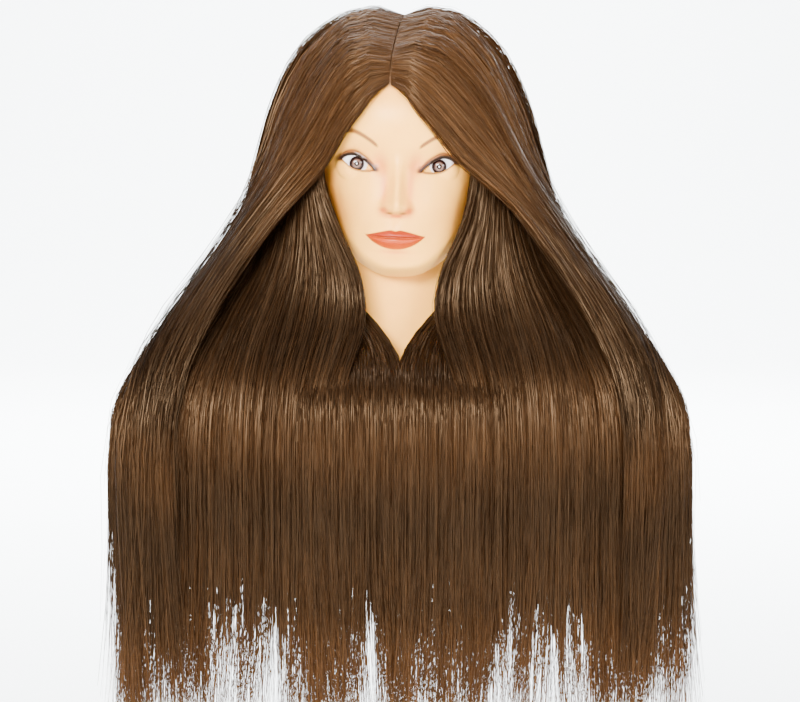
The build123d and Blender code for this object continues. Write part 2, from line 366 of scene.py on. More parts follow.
# ---- the head ------------------------------------------------------------------------------
# Tables of (height, value) for the skull and face without the neck.
HALF_WIDTH = [(84, 52), (100, 53), (112, 53), (126, 54.5), (143, 57.5), (160, 62), (175, 66.5), (190, 71),
              (205, 74), (226, 71.9), (246, 65.5), (264, 54.9), (279, 40), (288, 24.5), (292.6, 8)]
FRONT = [(84, -75), (92, -79), (98, -82.5), (104, -82.6), (112, -82.5), (124, -85), (136, -86.3), (150, -86),
         (165, -84.6), (178, -84.4), (190, -86), (200, -89), (212, -91.2), (226, -90.3), (246, -82.4),
         (264, -69.2), (279, -50.7), (288, -31.5), (292.6, -11)]
WIDEST = [(84, 8), (126, 4), (160, 2), (205, -1), (293, -1)]
REAR = [(84, 60), (98, 62), (114, 67), (134, 76), (160, 84), (184, 90), (205, 91), (226, 88.3),
        (246, 80.4), (264, 67.2), (279, 48.7), (288, 29.5), (292.6, 9)]
NECK_HALF_WIDTH = [(0, 57), (8, 56), (22, 53), (40, 50.5), (60, 49.5), (90, 51), (130, 54)]
NECK_FRONT = [(0, -47), (8, -46), (22, -42), (40, -38.5), (60, -36.5), (90, -36), (130, -36)]
NECK_WIDEST = [(0, 8), (52, 11), (130, 12)]
NECK_REAR = [(0, 61), (22, 60), (52, 59), (90, 61), (130, 66)]
JAW_LINE = [(0, 89.0), (0.30, 90.8), (0.54, 96.8), (0.77, 106.8), (0.91, 116.0), (1.0, 122.5)]
NOSE_RIDGE = [(136, 0), (139, 0.8), (141.5, 5.5), (143.6, 12.5), (147, 16.2), (151, 16.8),
              (157, 13.6), (165, 9.6), (174, 5.8), (182, 2.9), (190, 0.9), (198, 0)]
NOSE_SPREAD = [(136, 7.5), (143, 7.0), (150, 6.8), (158, 5.6), (170, 4.9), (182, 5.2), (198, 8)]
# Lid edges: (distance from the iris centre towards the nose, height above it).
UPPER_LID = [(-12.6, 3.2), (-10.5, 4.9), (-7.5, 6.3), (-4, 6.9), (-1, 6.5), (2, 5.2), (5, 3.3), (8, 1.3),
             (10.5, -0.7), (12.6, -2.7), (14.4, -4.5)]
LOWER_LID = [(-12.6, 3.2), (-9.6, 0.7), (-6, -2.2), (-2, -4.4), (1.5, -5.2), (5, -5.6),
             (8.3, -5.6), (11.5, -5.3), (14.4, -4.5)]
# Brow: (distance from the middle of the face, height).
BROW_LINE = [(16.8, 195.4), (22.8, 199.8), (29.7, 204.0), (36.6, 206.8),
             (43, 206.6), (50, 203.4), (55, 199.4)]


def face_to_world(u, w):
    """From the face's own sideways and upward directions to x and z."""
    du, dw = u, w - FACE_PIVOT[1]
    x = FACE_PIVOT[0] + du * math.cos(FACE_LEAN) + dw * math.sin(FACE_LEAN)
    z = FACE_PIVOT[1] - du * math.sin(FACE_LEAN) + dw * math.cos(FACE_LEAN)
    return x, z


def world_to_face(x, z):
    dx, dz = x - FACE_PIVOT[0], z - FACE_PIVOT[1]
    u = dx * math.cos(FACE_LEAN) - dz * math.sin(FACE_LEAN)
    w = FACE_PIVOT[1] + dx * math.sin(FACE_LEAN) + dz * math.cos(FACE_LEAN)
    return u, w


def spaced(*zones):
    """Levels with a step of their own in each (start, end, step) zone."""
    parts = [np.arange(start, end, step) for start, end, step in zones]
    return np.concatenate(parts)


def form(z, turn, half_width, front, widest, rear, fullness):
    """x and y of a section; turn runs from -90 to 90 degrees over the front, then round the back."""
    width, mid = profile(half_width, z), profile(widest, z)
    across = np.sin(turn)
    ahead = np.cos(turn) >= 0
    power = np.where(ahead, fullness, 2.0)
    depth = (1 - np.abs(across) ** power).clip(0) ** (1 / power)
    reach = np.where(ahead, profile(front, z) - mid, profile(rear, z) - mid)
    return width * across, mid + reach * depth


def eye_local(u, w, side):
    """Distance towards the nose and height from an eye's iris centre."""
    return -side * (u - side * EYE_OFFSET), w - EYE_HEIGHT


def eye_opening(a, b):
    """How far inside the almond of the open eye a place is, in mm; negative outside it."""
    ends = np.minimum(a - UPPER_LID[0][0], UPPER_LID[-1][0] - a)
    return np.minimum.reduce([profile(UPPER_LID, a) - b, b - profile(LOWER_LID, a), ends])


def mouth_edges(u):
    """Heights of the upper lip's top, the line between the lips and the lower lip's bottom."""
    m = np.clip(np.abs(u) / MOUTH_HALF_WIDTH, 0, 1)
    top = 5.6 * (1 - m**1.35) ** 1.1 - 1.3 * np.exp(-((u / 2.6) ** 2)) + 0.4 * m
    line = -1.0 + 1.3 * m**2 + 0.35 * np.exp(-((u / 4.0) ** 2))
    low = -10.4 * (1 - m**2.2) ** 0.95 + 0.4 * m
    return top, line, low


def jaw_height(turn):
    """Where the head starts to stand out from the neck."""
    across = np.abs(np.sin(turn))
    return np.where(np.cos(turn) >= 0, profile(JAW_LINE, across), JAW_LINE[-1][1] - 4.0 * (1 - across))


def follow_jaw(level, turn):
    """Heights of rows of points that bend so that one row lies on the jaw line all the way round."""
    start, top = JAW_LINE[0][1], 150.0
    jaw = jaw_height(turn)
    below = level * jaw / start
    above = jaw + (level - start) * (top - jaw) / (top - start)
    return np.where(level > top, level, np.where(level < start, below, above))


def head_surface(z, turn):
    """x and y of the head and neck, and the face's own u, w that its paint is laid out on."""
    head_x, head_y = form(z, turn, HALF_WIDTH, FRONT, WIDEST, REAR, 2.25)
    neck_x, neck_y = form(z, turn, NECK_HALF_WIDTH, NECK_FRONT, NECK_WIDEST, NECK_REAR, 2.0)
    across, ahead = np.abs(np.sin(turn)), np.cos(turn)
    jaw = jaw_height(turn)
    height = np.where(ahead >= 0, 13 + 12 * across**3, 25 + 14 * (1 - across))
    rise = np.clip((z - jaw) / height, 0, 1)
    share = (1 - (1 - rise) ** 2.3) ** 0.72
    x = neck_x + (head_x - neck_x) * share
    y = neck_y + (head_y - neck_y) * share
    front = smoothstep(0.05, 0.45, ahead) * smoothstep(0.25, 0.9, share)
    u, w = world_to_face(x, z)

    out = profile(NOSE_RIDGE, w) * np.exp(-(np.abs(u / profile(NOSE_SPREAD, w)) ** 2.3))
    for side in (-1, 1):
        out += 5.6 * bump(u, w, (side * 8.6, 147.2), (3.7, 4.0))
        out -= 2.6 * bump(u, w, (side * 5.0, 142.2), (2.6, 1.5))
        out -= 4.2 * bump(u, w, (side * 31, 184.8), (16, 8.5))
        out -= 2.4 * bump(u, w, (side * 14.5, 181), (5.5, 8))
        out += 1.6 * bump(u, w, (side * 33, 203), (17, 6))
        out += 2.6 * bump(u, w, (side * 33, 152), (17, 15))
        out -= 1.2 * bump(u, w, (side * 26, 122), (6, 8))
    out += 2.2 * bump(u, w, (0, 99), (12, 7.5))
    out -= 1.6 * bump(u, w, (0, 110), (15, 3.2))
    out -= 0.8 * bump(u, w, (0, 133.5), (2.4, 4.0))

    top, line, low = mouth_edges(u)
    v = w - MOUTH_HEIGHT
    taper = (1 - np.clip(np.abs(u) / MOUTH_HALF_WIDTH, 0, 1) ** 2.2) ** 0.8
    upper = np.clip((v - line) / np.maximum(top - line, 0.5), 0, 1)
    lower = np.clip((line - v) / np.maximum(line - low, 0.5), 0, 1)
    upper_roll = 3.0 * np.sin(np.pi * upper**0.55) ** 0.9
    lower_roll = 4.0 * np.sin(np.pi * lower**0.62) ** 0.9
    lips = np.where(v > line, upper_roll, lower_roll)
    around = bump(u, v, (0, -1.5), (21, 11))
    out += (lips + 0.3) * taper * ((v < top) & (v > low)) + 1.8 * around
    out -= 1.5 * np.exp(-(((v - line) / 0.8) ** 2)) * (np.abs(u) < MOUTH_HALF_WIDTH + 1) * (0.4 + 0.6 * taper)
    y = y - out * front

    for side in (-1, 1):
        a, b = eye_local(u, w, side)
        near = (a**2 + b**2 < (EYE_RADIUS + LID_THICKNESS) ** 2) & (ahead > 0)
        dome = EYE_DEPTH - np.sqrt(np.clip((EYE_RADIUS + LID_THICKNESS) ** 2 - a**2 - b**2, 0, None))
        fold = 0.9 * np.exp(-(((b - profile(UPPER_LID, a) - 3.6) / 1.0) ** 2)) * smoothstep(15, 10, np.abs(a))
        softness = 1.2
        gap = np.clip(0.5 + 0.5 * (y - dome) / softness, 0, 1)
        covered = y * (1 - gap) + dome * gap - softness * gap * (1 - gap) + fold
        y = np.where(near, covered, y)
        sunk = smoothstep(-0.1, 1.3, eye_opening(a, b))
        y = np.where(near, y + 5.0 * sunk, y)
    return x, y, u, w


def face_paint(u, w, z, ahead):
    """Colour and roughness of the painted vinyl, with painted shade laid on it."""
    count = len(u)
    colour = np.tile(np.array(SKIN), (count, 1))
    rough = SKIN_ROUGHNESS + 0.30 * smoothstep(134, 112, z)

    def lay(paint, amount, roughness=None):
        nonlocal colour, rough
        amount = (np.clip(amount, 0, 1) * (ahead > 0))[:, None]
        colour = colour * (1 - amount) + np.array(paint) * amount
        if roughness is not None:
            rough = rough * (1 - amount[:, 0]) + roughness * amount[:, 0]

    # Painted shade: the sides of the face and neck darker as they turn away, a band under the hairline,
    # beside and under the nose, at the bridge by the eyes and under the lower lip; the faint patches out on
    # the cheeks are blush.
    painted_shade = 0.55 * smoothstep(0.80, 0.30, ahead) * smoothstep(70, 100, z)
    painted_shade = painted_shade + 0.25 * smoothstep(222, 246, z)
    for side in (-1, 1):
        painted_shade = painted_shade + 0.62 * bump(u, w, (side * 10.5, 163), (3.2, 16))
        painted_shade = painted_shade + 0.75 * bump(u, w, (side * 10, 144.5), (4.6, 3.0))
        painted_shade = painted_shade + 0.12 * bump(u, w, (side * 38, 140), (16, 14))
        painted_shade = painted_shade + 0.60 * bump(u, w, (side * 15, 181), (6, 9))
    painted_shade = painted_shade + 0.9 * bump(u, w, (0, 140.3), (8.5, 1.8)) + 0.55 * bump(u, w, (0, 111.5), (13, 2.2))
    lay(SKIN_SHADE, painted_shade)
    rooted = np.where(ahead > 0, smoothstep(240, 246, z), smoothstep(96, 104, z))
    colour = colour * (1 - rooted[:, None]) + np.array(SCALP) * rooted[:, None]
    rough = np.maximum(rough, rooted * 0.9)

    for side in (-1, 1):
        a, b = eye_local(u, w, side)
        over = b - profile(UPPER_LID, a)
        under = profile(LOWER_LID, a) - b
        span = smoothstep(17.5, 13, np.abs(a - 0.9))
        ends = 0.62 + 0.38 * smoothstep(4, 12, np.abs(a + 1))
        # Painted shade over the eye socket above the upper lid.
        lay(SKIN_SHADE, 0.45 * span * smoothstep(9.5, 1, over) * smoothstep(-1, 0.5, over))
        lay(LID_SHADOW, 0.95 * span * ends * smoothstep(5.6, 0.8, over) * smoothstep(-1.2, 0, over))
        # Painted shade along the crease of the lid, over its groove.
        lay(LID_SHADOW, 0.88 * span * np.exp(-(((over - 3.4) / 0.9) ** 2)))
        lay(LID_SHADOW, 0.85 * bump(a, b, (-14.5, 3.4), (4.6, 3.0)))
        # Painted shade in the inner corner of the eye, by the nose.
        lay(LID_SHADOW, 0.85 * bump(a, b, (15.6, -4.4), (2.4, 1.8)))
        lay(LID_SHADOW, 0.80 * span * np.exp(-(((under - 0.2) / 0.9) ** 2)))
        lay(EYE_LINE, 0.97 * span * smoothstep(3.2, 1.7, over) * smoothstep(-1.6, -0.6, over), 0.3)
        brow_u = side * u
        stroke = w - profile(BROW_LINE, brow_u)
        thick = np.interp(brow_u, [15, 20, 36, 56], [1.3, 1.9, 2.0, 1.4])
        reach = smoothstep(15.2, 18.5, brow_u) * smoothstep(57, 50, brow_u)
        hairs = 0.88 + 0.12 * np.sin(brow_u * 5.1 + stroke * 3.0)
        lay(BROW, 0.97 * reach * hairs * np.exp(-((stroke / thick) ** 4)))
        # Painted shade in the nostrils, in the brow's colour.
        lay(BROW, 0.9 * bump(u, w, (side * 5.4, 142.6), (2.6, 1.0)))

    top, line, low = mouth_edges(u)
    v = w - MOUTH_HEIGHT
    inside = smoothstep(MOUTH_HALF_WIDTH + 0.6, MOUTH_HALF_WIDTH - 0.6, np.abs(u))
    above_line = smoothstep(line - 0.4, line + 0.4, v)
    below_line = smoothstep(line + 0.4, line - 0.4, v)
    lay(UPPER_LIP, inside * smoothstep(top + 0.45, top - 0.45, v) * above_line, 0.42)
    lay(LOWER_LIP, inside * below_line * smoothstep(low - 0.6, low + 0.6, v), 0.34)
    # Painted shade along the groove between the lips, in the upper lip's colour.
    lay(UPPER_LIP, 0.7 * inside * np.exp(-(((v - line) / 0.6) ** 2)))
    return colour, rough


def crown_levels(start, end, count):
    """Levels over the round of the skull, at even angles above its widest level."""
    return SKULL_CENTRE + SKULL_RISE * np.sin(np.radians(np.linspace(start, end, count)))


def head_levels():
    """Heights of the rows of the skin: close together over the jaw, mouth and eyes."""
    jaw = JAW_LINE[0][1]
    neck = spaced((0, 84, 3.5), (84, jaw, 1.6))
    shelf = jaw + 6.0 * np.linspace(0, 1, 16) ** 2
    face = spaced((jaw + 6.7, 112, 0.7), (112, 134, 0.5), (134, 156, 0.55),
                  (156, 172, 0.9), (172, 214, 0.5), (214, 250, 1.5))
    return np.concatenate([neck, shelf, face, crown_levels(30.8, 84.5, 26)])


def head_turns():
    """Angles of the columns of the skin: close together over the face."""
    middle = np.radians(np.arange(-48, 48, 0.53))
    flank = np.radians(np.arange(48, 90, 1.2))
    behind = np.radians(np.arange(90, 270, 4.5))
    return np.concatenate([middle, flank, behind, np.radians(270) + (flank - np.radians(48))])


def add_head():
    """The vinyl skin, painted, with its lower rim turned in round the base plate."""
    levels, turns = head_levels(), head_turns()
    level, turn = np.meshgrid(levels, turns, indexing="ij")
    turn = turn.ravel()
    z = follow_jaw(level.ravel(), turn)
    x, y, u, w = head_surface(z, turn)
    skin = np.stack([x, y, z], 1)
    columns = len(turns)
    rim = skin[:columns]
    mid = np.array([0, profile(NECK_WIDEST, 0.0), 0])
    inward = (mid - rim) / np.linalg.norm(mid - rim, axis=1)[:, None]
    rim_in = rim + inward * SKIN_WALL
    rim_up = rim_in + np.array([0, 0, RIM_HEIGHT])
    points = np.concatenate([rim_up, rim_in, skin])
    colour, rough = face_paint(u, w, z, np.cos(turn))
    quads = grid_faces(len(levels) + 2, columns, wrap=True)
    piece = make_piece("vinyl_head", points, quads, VINYL, ["head_skin"])
    rim_colour = np.tile(np.array(SKIN), (2 * columns, 1))
    vertex_colour(piece, "paint", np.concatenate([rim_colour, colour]))
    gloss = np.concatenate([np.full(2 * columns, SKIN_ROUGHNESS), rough])
    vertex_colour(piece, "gloss", np.repeat(gloss[:, None], 3, axis=1))
    return piece


def add_foam():
    """The rigid foam that fills the skin, with its hole for the socket."""
    low, high = 5.0, 289.0
    levels = np.concatenate([spaced((low, 84, 7), (84, 132, 3), (132, 250, 6)), crown_levels(32, 80, 14)])
    turns = np.radians(np.arange(-90, 270, 4))
    z, turn = np.meshgrid(levels, turns, indexing="ij")
    z, turn = z.ravel(), turn.ravel()
    below_jaw = 7.0 * smoothstep(86, 92, z) * smoothstep(150, 135, z)
    x, y = head_surface(z - below_jaw, turn)[:2]
    mid = profile(NECK_WIDEST, z)
    reach = np.hypot(x, y - mid)
    keep = np.maximum(reach - SKIN_WALL - 0.4 - 3.0 * (np.cos(turn) > 0.5), 0.5) / reach
    body = np.stack([x * keep, mid + (y - mid) * keep, np.minimum(z, high)], 1)
    columns = len(turns)
    hole = np.stack([FOAM_HOLE * np.sin(turns), -FOAM_HOLE * np.cos(turns), np.full(columns, low)], 1)
    crown = np.tile([0.0, 0.0, high], (columns, 1))
    points = np.concatenate([hole, body, crown])
    quads = grid_faces(len(levels) + 2, columns, wrap=True)
    return make_piece("foam_fill", points, quads, FOAM, ["foam_core"])


def side_name(side):
    return "left" if side > 0 else "right"


def ring_grid(first, rings, steps):
    """Shares of the way out and angles for rings of points round a middle."""
    shares = np.linspace(first, 1, rings)
    angles = np.linspace(0, 2 * np.pi, steps, endpoint=False)
    ring, step = np.meshgrid(shares, angles, indexing="ij")
    return ring.ravel(), step.ravel()


def add_ear(side):
    """A moulded ear: a rolled rim around a hollow, with a lobe."""
    rings, steps = 15, 64
    ring, step = ring_grid(0, rings, steps)
    tall = np.where(np.sin(step) > 0, 29.0, 31.0)
    wide = 15.0 - 3.5 * (np.sin(step) < 0) * np.abs(np.sin(step))
    rim = np.exp(-(((ring - 0.80) / 0.13) ** 2))
    hollow = np.exp(-((ring / 0.42) ** 2))
    fold = 2.0 * np.exp(-(((ring - 0.52) / 0.1) ** 2)) * (np.sin(step) > -0.3)
    lift = 7.5 * rim - 4.0 * hollow + fold + 5.0 * (1 - ring) - 8.0 * smoothstep(0.9, 1.0, ring)
    y = 16 + wide * ring * np.cos(step) + 4.0 * ring * np.sin(step)
    z = 168 + tall * ring * np.sin(step)
    x = side * (66.5 + lift + 0.10 * (z - 168))
    piece = make_piece(f"vinyl_ear_{side_name(side)}", np.stack([x, y, z], 1),
                       grid_faces(rings, steps, wrap=True), VINYL, ["head_skin"])
    # The hollow is painted darker: painted shade in the recess.
    tint = np.tile(np.array(SKIN), (len(x), 1)) * (1 - 0.25 * hollow[:, None])
    vertex_colour(piece, "paint", tint)
    vertex_colour(piece, "gloss", np.full((len(x), 3), SKIN_ROUGHNESS))


def eye_centre(side):
    """Middle of an eye's sphere."""
    x, z = face_to_world(side * EYE_OFFSET, EYE_HEIGHT)
    return np.array([x, EYE_DEPTH, z])


def add_eye(side):
    """A domed eye with a flat back; the map runs straight across its face."""
    rings, steps = 40, 72
    reach = math.radians(62)
    ring, step = ring_grid(0.002, rings, steps)
    bend = reach * ring
    cornea = 0.7 * np.exp(-((EYE_RADIUS * np.sin(bend) / 5.5) ** 4))
    radius = EYE_RADIUS + cornea - 0.7
    x = radius * np.sin(bend) * np.cos(step)
    z = radius * np.sin(bend) * np.sin(step)
    y = -radius * np.cos(bend)
    back = np.stack([0.96 * x[-steps:], np.full(steps, y[-1] + 0.8), 0.96 * z[-steps:]], 1)
    inner = back * np.array([0.02, 1, 0.02])
    points = np.concatenate([np.stack([x, y, z], 1), back, inner])
    uv = points[:, [0, 2]] / (2 * EYE_RADIUS) + 0.5
    name = side_name(side)
    quads = grid_faces(rings + 2, steps, wrap=True)
    return make_piece(f"glass_eye_{name}", points + eye_centre(side), quads, EYE,
                      [f"eye_{name}"], uv)


def ribbons(paths, wide, across, shade, along=None):
    """Flat tapering fibres along paths (fibre, point, axis), as vertices, quads and map coordinates."""
    fibres, points = paths.shape[:2]
    half = 0.5 * wide[..., None] * across
    vertices = np.stack([paths - half, paths + half], 2).reshape(-1, 3)
    first = (np.arange(fibres)[:, None] * points + np.arange(points - 1)[None, :]).ravel() * 2
    quads = np.stack([first, first + 1, first + 3, first + 2], 1)
    if along is None:
        along = np.tile(np.linspace(0, 1, points), (fibres, 1))
    u = np.repeat(shade[:, None], points, 1)
    uv = np.stack([np.stack([u, u + 0.0008], 2), np.repeat(along[..., None], 2, 2)], 3)
    return vertices, quads, uv.reshape(-1, 2)


def add_lashes(side, rng):
    """A strip of upper lashes that curve out and up from the lid's edge."""
    count, points = 150, 7
    a = np.sort(rng.uniform(-12.4, 12.8, count))
    b = profile(UPPER_LID, a) - 0.1
    root_u, root_w = side * EYE_OFFSET - side * a, EYE_HEIGHT + b
    x, z = face_to_world(root_u, root_w)
    y = EYE_DEPTH - np.sqrt(np.clip((EYE_RADIUS + LID_THICKNESS) ** 2 - a**2 - b**2, 0, None)) - 0.2
    root = np.stack([x, y, z], 1)
    length = rng.uniform(2.8, 4.4, count) * (1 - 0.45 * smoothstep(4, 13, a))
    fan = -side * (a * 0.045 + rng.normal(0, 0.08, count))
    t = np.linspace(0, 1, points)
    forward, upward = -0.9 * t * (1 - 0.35 * t), -0.15 * t + 0.75 * t**2
    out = np.stack([fan[:, None] * t, np.tile(forward, (count, 1)), np.tile(upward, (count, 1))], 2)
    paths = root[:, None] + out * length[:, None, None]
    wide = np.tile(0.46 * (1 - 0.85 * t), (count, 1))
    across = np.tile(np.array([1.0, 0, 0]), (count, points, 1))
    vertices, quads, uv = ribbons(paths, wide, across, rng.uniform(0, 0.99, count))
    name = side_name(side)
    make_piece(f"lash_fan_{name}", vertices, quads, LASH, [f"lashes_{name}"], uv)


# ---- hair ----------------------------------------------------------------------------------
# Guides run from root to tip along the outside of each combed section, for the side with x > 0.
TIP = -322
TOP_GUIDES = [
    [(0.4, -84, 247), (8, -91.5, 245), (21, -96, 230), (39, -92, 209), (54, -83, 187), (73, -76, 168),
     (96, -76, 145), (121, -82, 112), (143, -94, 78), (161, -106, 44), (174, -119, 8), (180, -125, -42),
     (177, -122, TIP)],
    [(0.4, -71, 271), (7, -75, 274), (30, -74, 272), (59, -67, 244), (81, -56, 209), (101, -53, 174),
     (124, -56, 140), (149, -68, 104), (173, -86, 69), (191, -104, 36), (202, -119, -2), (205, -125, -42),
     (200, -123, TIP)],
    [(0.4, -26, 301), (7, -26, 303), (34, -27, 305), (70, -23, 277), (94, -19, 232), (110, -17, 186),
     (130, -27, 145), (156, -50, 104), (183, -78, 66), (203, -103, 28), (214, -118, -6), (217, -123, -42),
     (211, -122, TIP)],
    [(0.4, 25, 301), (7, 25, 303), (34, 25, 306), (73, 19, 281), (99, 13, 238), (115, 6, 190),
     (130, -6, 146), (154, -36, 102), (184, -72, 62), (212, -101, 22), (226, -117, -8), (230, -120, -42),
     (224, -120, TIP)],
]
SIDE_GUIDES = [
    [(70, -50, 205), (67, -62, 186), (64.5, -68, 165), (58.5, -71, 142), (50, -72, 120), (40, -72, 98),
     (35.5, -72, 79), (35, -78, 58), (42, -92, 34), (50, -106, 8), (54, -115, -42), (55, -116, TIP)],
    [(82, -24, 199), (84, -36, 180), (86, -44, 158), (88, -52, 136), (91, -59, 112), (96, -65, 90),
     (105, -76, 64), (114, -92, 36), (120, -107, 8), (123, -116, -42), (122, -117, TIP)],
    [(91, 8, 196), (98, 2, 176), (105, -8, 153), (113, -20, 130), (123, -34, 108), (137, -52, 84),
     (153, -73, 60), (169, -93, 34), (182, -108, 8), (188, -117, -42), (186, -117, TIP)],
]
NAPE_GUIDES = [
    [(46, 76, 122), (64, 44, 114), (69, 6, 106), (62, -24, 95), (47, -45, 82), (31, -56, 64),
     (15, -65, 46), (5, -77, 31), (1.5, -95, 19), (1.5, -108, 4), (1.5, -115, -42), (2, -116, TIP)],
    [(56, 79, 136), (76, 46, 125), (83, 6, 113), (75, -22, 100), (62, -42, 84), (50, -54, 65),
     (40, -66, 46), (35, -80, 30), (35, -97, 17), (35, -109, 4), (35, -115, -42), (35, -116, TIP)],
    [(64, 78, 150), (86, 44, 138), (92, 8, 124), (87, -14, 106), (77, -34, 85), (68, -50, 64),
     (66, -64, 44), (70, -81, 28), (74, -98, 16), (77, -109, 3), (78, -115, -42), (78, -116, TIP)],
]
BACK_GUIDES = [
    [(0.4, 26, 298), (7, 26, 302), (36, 24, 303), (74, 17, 280), (99, 9, 237), (113, 2, 190), (125, -11, 144),
     (146, -41, 98), (178, -77, 55), (206, -102, 16), (220, -113, -36), (214, -113, TIP)],
    [(0.4, 91, 246), (7, 94, 247), (40, 92, 234), (75, 74, 204), (99, 47, 166), (111, 21, 128),
     (124, -10, 92), (147, -46, 60), (171, -79, 30), (186, -99, 8), (192, -111, -38), (189, -112, TIP)],
    [(0.4, 101, 175), (7, 103, 174), (34, 102, 156), (66, 87, 130), (90, 56, 98), (107, 20, 68),
     (123, -17, 46), (141, -54, 30), (157, -84, 18), (166, -101, 6), (171, -111, -38), (169, -112, TIP)],
    [(0.4, 79, 112), (7, 82, 111), (34, 82, 101), (60, 70, 86), (82, 42, 66), (100, 8, 48), (116, -24, 35),
     (132, -57, 24), (145, -85, 14), (151, -101, 4), (155, -111, -38), (154, -112, TIP)],
]
SECTIONS = {  # guides, number of fibres, share of the width beyond each edge
    "top": (TOP_GUIDES, 5400, 0.018),
    "side": (SIDE_GUIDES, 4800, 0.05),
    "nape": (NAPE_GUIDES, 4800, 0.04),
    "back": (BACK_GUIDES, 5200, 0.02),
}
STATIONS = 240                      # points along a smoothed guide
STRAND_WIDTH = 0.38
SHEET_DEPTH = 7.0                   # the fibres lie up to this deep under the outer surface
ROOT_DEPTH = {"top": 0.5, "side": 8.0, "nape": 8.0, "back": 5.0}
MASS_DEPTH = {"top": 3.8, "side": 4.8, "nape": 5.0, "back": 3.2}
MASS_THICKNESS = {"top": 2.8, "side": 1.0, "nape": 1.0, "back": 1.0}
STRAY_SHARE = 0.03
REACH = (249.0, 139.0, 322.0)       # no fibre goes beyond these x, y and z
# Where a section starts in the table of painted light along the hair: the lower sections, which lie in shade,
# skip its painted bright start.
PAINTED_LIGHT_START = {"top": 0.0, "side": 0.28, "nape": 0.20, "back": 0.10}
OUTWARD = np.array([0.5, -1, 0.3])  # roughly the way the outer surface of the hair looks


class Sheet:
    """The outer surface of one combed section."""

    def __init__(self, guides):
        lines = []
        for guide in guides:
            edge, tip = np.array(guide[-2], float), np.array(guide[-1], float)
            hanging = [tuple(edge + (tip - edge) * step / 4) for step in (1, 2, 3)]
            lines.append(smooth_path([*guide[:-1], *hanging, guide[-1]], STATIONS))
        self.lines = np.array(lines)
        self.knots = np.arange(len(guides))
        self.sign = 1.0
        middle = self.normal(np.array([0.5]), np.array([0.5]))[0]
        self.sign = 1.0 if middle @ OUTWARD > 0 else -1.0

    def point(self, s, t):
        weight = hermite(self.knots, np.eye(len(self.knots)), s * (len(self.knots) - 1))
        place = np.clip(t, 0, 1) * (STATIONS - 1)
        low = np.clip(place.astype(int), 0, STATIONS - 2)
        part = (place - low)[..., None]
        total = 0
        for guide, line in enumerate(self.lines):
            total = total + weight[..., guide, None] * (line[low] * (1 - part) + line[low + 1] * part)
        return total

    def normal(self, s, t):
        ahead = self.point(s, np.minimum(t + 0.006, 1)) - self.point(s, np.maximum(t - 0.006, 0))
        across = self.point(s + 0.02, t) - self.point(s - 0.02, t)
        facing = np.cross(across, ahead)
        return self.sign * facing / np.maximum(np.linalg.norm(facing, axis=-1, keepdims=True), 1e-9)


def length_share(s, name):
    """How far along the guides the hair reaches: the top section is shorter at its outer edge."""
    return 1.0 - 0.06 * smoothstep(0.55, 1.05, s) * (name == "top")


def lock_tips(s, locks, rng):
    """Assigns fibres to locks: each lock has a middle, a pull, a length and a drift."""
    centres = np.sort(rng.uniform(-0.02, 1.02, locks))
    index = np.abs(s[:, None] - centres[None]).argmin(1)
    return {
        "middle": centres[index],
        "pull": rng.uniform(0.35, 0.86, locks)[index],
        "short": (rng.uniform(0, 1, locks) ** 1.7 * 0.17)[index],
        "drift": rng.normal(0, 1, (locks, 3)).clip(-1.3, 1.3)[index],
    }


